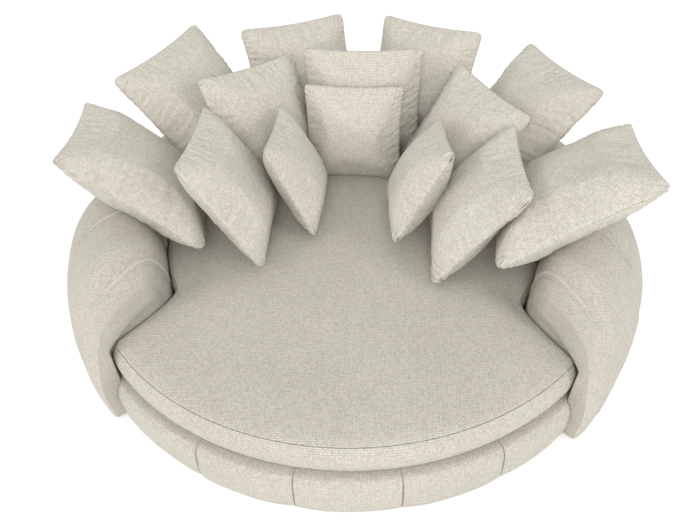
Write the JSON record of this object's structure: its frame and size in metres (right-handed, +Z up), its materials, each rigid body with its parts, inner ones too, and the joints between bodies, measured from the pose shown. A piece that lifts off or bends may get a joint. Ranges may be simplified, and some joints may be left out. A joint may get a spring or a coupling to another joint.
{
  "type": "round lounge sofa",
  "caption": "Round upholstered lounge sofa: a low padded ring makes the arms and back round a deep loose seat cushion that carries loose knife-edge scatter cushions.",
  "frame": {"origin": "on the floor under the centre of the circular plan", "axes": "+Z up; the open front of the seat faces -Y; +X is to the right of a person who looks at the sofa from the front"},
  "size_m": [2.5036, 2.4351, 0.9282],
  "materials": {
    "weave": "matte",
    "pillow": "matte",
    "foam": "matte",
    "timber": "matte",
    "webbing": "matte",
    "cloth": "matte",
    "plastic": "matte"
  },
  "bodies": {
    "sofa_body": {"dust_cover": "cloth", "base_board_right": "timber", "base_board_left": "timber", "glide_1": "plastic", "glide_2": "plastic", "glide_3": "plastic", "glide_4": "plastic", "glide_5": "plastic", "glide_6": "plastic", "top_rail_left": "timber", "ring_rib_left_1": "timber", "ring_rib_left_2": "timber", "ring_rib_left_3": "timber", "top_rail_right": "timber", "ring_rib_right_1": "timber", "ring_rib_right_2": "timber", "ring_rib_right_3": "timber", "front_board": "timber", "deck_hoop_right": "timber", "deck_hoop_left": "timber", "side_board_left": "timber", "side_board_right": "timber", "beam_across": "timber", "beam_front": "timber", "beam_rear": "timber", "webbing_across_1": "webbing", "webbing_across_2": "webbing", "webbing_across_3": "webbing", "webbing_long_1": "webbing", "webbing_long_2": "webbing", "deck_cloth": "cloth", "rail_panel_1": "weave", "rail_panel_2": "weave", "rail_panel_3": "weave", "rail_panel_4": "weave", "rail_panel_5": "weave", "arm_facing_left": "weave", "arm_left": "weave", "back_left": "weave", "back_rear_left": "weave", "arm_facing_right": "weave", "arm_right": "weave", "back_right": "weave", "back_rear_right": "weave"},
    "seat_cushion": {"seat_cushion_cover": "weave", "seat_foam_core": "foam"},
    "pillow_arm_left": {"pillow_arm_left": "pillow"},
    "pillow_arm_right": {"pillow_arm_right": "pillow"},
    "pillow_flank_left": {"pillow_flank_left": "pillow"},
    "pillow_flank_right": {"pillow_flank_right": "pillow"},
    "pillow_rear_left": {"pillow_rear_left": "pillow"},
    "pillow_rear_right": {"pillow_rear_right": "pillow"},
    "pillow_middle_centre": {"pillow_middle_centre": "pillow"},
    "pillow_middle_left": {"pillow_middle_left": "pillow"},
    "pillow_middle_right": {"pillow_middle_right": "pillow"},
    "pillow_front_left": {"pillow_front_left": "pillow"},
    "pillow_front_right": {"pillow_front_right": "pillow"},
    "pillow_small_centre": {"pillow_small_centre": "pillow"},
    "pillow_small_left": {"pillow_small_left": "pillow"},
    "pillow_small_right": {"pillow_small_right": "pillow"}
  },
  "joints": [
    {"name": "seat_lift", "type": "slide", "parent": "sofa_body", "child": "seat_cushion", "axis": [0, 0, 1], "range_m": [0, 0.3]},
    {"name": "arm_left_pillow_lift", "type": "slide", "parent": "seat_cushion", "child": "pillow_arm_left", "axis": [-0.5848, -0.2363, 0.776], "range_m": [0, 0.32]},
    {"name": "arm_right_pillow_lift", "type": "slide", "parent": "seat_cushion", "child": "pillow_arm_right", "axis": [0.4577, -0.1666, 0.8733], "range_m": [0, 0.32]},
    {"name": "flank_left_pillow_lift", "type": "slide", "parent": "seat_cushion", "child": "pillow_flank_left", "axis": [-0.298, 0.2413, 0.9236], "range_m": [0, 0.32]},
    {"name": "flank_right_pillow_lift", "type": "slide", "parent": "seat_cushion", "child": "pillow_flank_right", "axis": [0.6181, 0.2882, 0.7314], "range_m": [0, 0.32]},
    {"name": "rear_left_pillow_lift", "type": "slide", "parent": "seat_cushion", "child": "pillow_rear_left", "axis": [-0.1368, 0.2276, 0.9641], "range_m": [0, 0.32]},
    {"name": "rear_right_pillow_lift", "type": "slide", "parent": "seat_cushion", "child": "pillow_rear_right", "axis": [0.1295, 0.1993, 0.9713], "range_m": [0, 0.32]},
    {"name": "middle_centre_pillow_lift", "type": "slide", "parent": "seat_cushion", "child": "pillow_middle_centre", "axis": [0.017, 0.0495, 0.9986], "range_m": [0, 0.32]},
    {"name": "middle_left_pillow_lift", "type": "slide", "parent": "seat_cushion", "child": "pillow_middle_left", "axis": [-0.4113, 0.31, 0.8572], "range_m": [0, 0.32]},
    {"name": "middle_right_pillow_lift", "type": "slide", "parent": "seat_cushion", "child": "pillow_middle_right", "axis": [0.4472, 0.2687, 0.8531], "range_m": [0, 0.32]},
    {"name": "front_left_pillow_lift", "type": "slide", "parent": "seat_cushion", "child": "pillow_front_left", "axis": [-0.2921, -0.0256, 0.956], "range_m": [0, 0.32]},
    {"name": "front_right_pillow_lift", "type": "slide", "parent": "seat_cushion", "child": "pillow_front_right", "axis": [0.3475, -0.0121, 0.9376], "range_m": [0, 0.32]},
    {"name": "small_centre_pillow_lift", "type": "slide", "parent": "seat_cushion", "child": "pillow_small_centre", "axis": [0, 0, 1], "range_m": [0, 0.32]},
    {"name": "small_left_pillow_lift", "type": "slide", "parent": "seat_cushion", "child": "pillow_small_left", "axis": [-0.2282, -0.008, 0.9736], "range_m": [0, 0.32]},
    {"name": "small_right_pillow_lift", "type": "slide", "parent": "seat_cushion", "child": "pillow_small_right", "axis": [0.2744, -0.0144, 0.9615], "range_m": [0, 0.32]}
  ]
}
